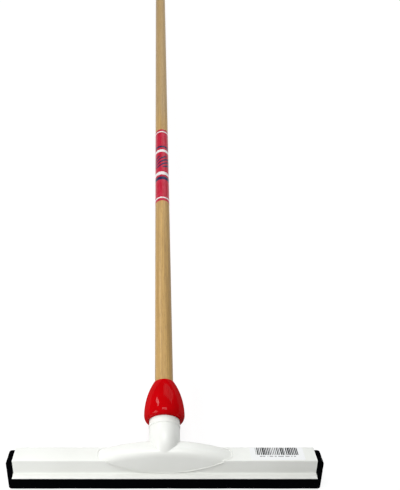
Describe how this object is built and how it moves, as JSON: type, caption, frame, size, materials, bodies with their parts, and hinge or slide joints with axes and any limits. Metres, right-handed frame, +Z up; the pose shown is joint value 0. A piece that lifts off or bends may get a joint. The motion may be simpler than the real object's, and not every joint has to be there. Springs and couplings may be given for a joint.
{
  "type": "floor squeegee",
  "caption": "Floor squeegee: a straight white head with a double black foam blade, a red screw clamp and a long round wooden handle.",
  "frame": {"origin": "the middle of the flat on which the rear blade rests on the floor", "axes": "+X along the blades, +Y from the head along the handle, +Z up from the floor on which the squeegee lies"},
  "size_m": [0.4, 1.4431, 0.0778],
  "materials": {
    "white_plastic": "smooth satin polypropylene",
    "foam_rubber": "matt cellular rubber",
    "clear_plastic": "natural polypropylene",
    "red_plastic": "glossy moulded plastic",
    "wood": "smooth turned wood, thin varnish",
    "label_film": "printed film",
    "sticker_paper": "white paper with printed bars"
  },
  "bodies": {
    "head": {"channel": "white_plastic", "saddle": "white_plastic", "barcode_sticker": "sticker_paper"},
    "front_blade": {"front_blade": "foam_rubber"},
    "rear_blade": {"rear_blade": "foam_rubber"},
    "handle": {"handle": "wood", "handle_label": "label_film"},
    "clamp_sleeve": {"clamp_sleeve": "clear_plastic"},
    "clamp_nut": {"clamp_nut": "red_plastic"}
  },
  "joints": [
    {"name": "front_blade_slide", "type": "slide", "parent": "head", "child": "front_blade", "axis": [1, 0, 0], "range_m": [0, 0.4]},
    {"name": "rear_blade_slide", "type": "slide", "parent": "head", "child": "rear_blade", "axis": [1, 0, 0], "range_m": [0, 0.4]},
    {"name": "handle_pull", "type": "slide", "parent": "head", "child": "handle", "axis": [0, 0.9996, -0.0284], "range_m": [0, 0.1]},
    {"name": "clamp_travel", "type": "slide", "parent": "head", "child": "clamp_sleeve", "axis": [0, 0.9996, -0.0284], "range_m": [0, 0.0081]},
    {"name": "nut_turn", "type": "hinge", "parent": "clamp_sleeve", "child": "clamp_nut", "pos_m": [0, 0.08185, 0.05045], "axis": [0, 0.9996, -0.0284], "range_deg": [0, 720]}
  ],
  "couplings": [
    {"joint": "clamp_travel", "follows": "nut_turn", "m_per_rad": 0.00063662}
  ]
}
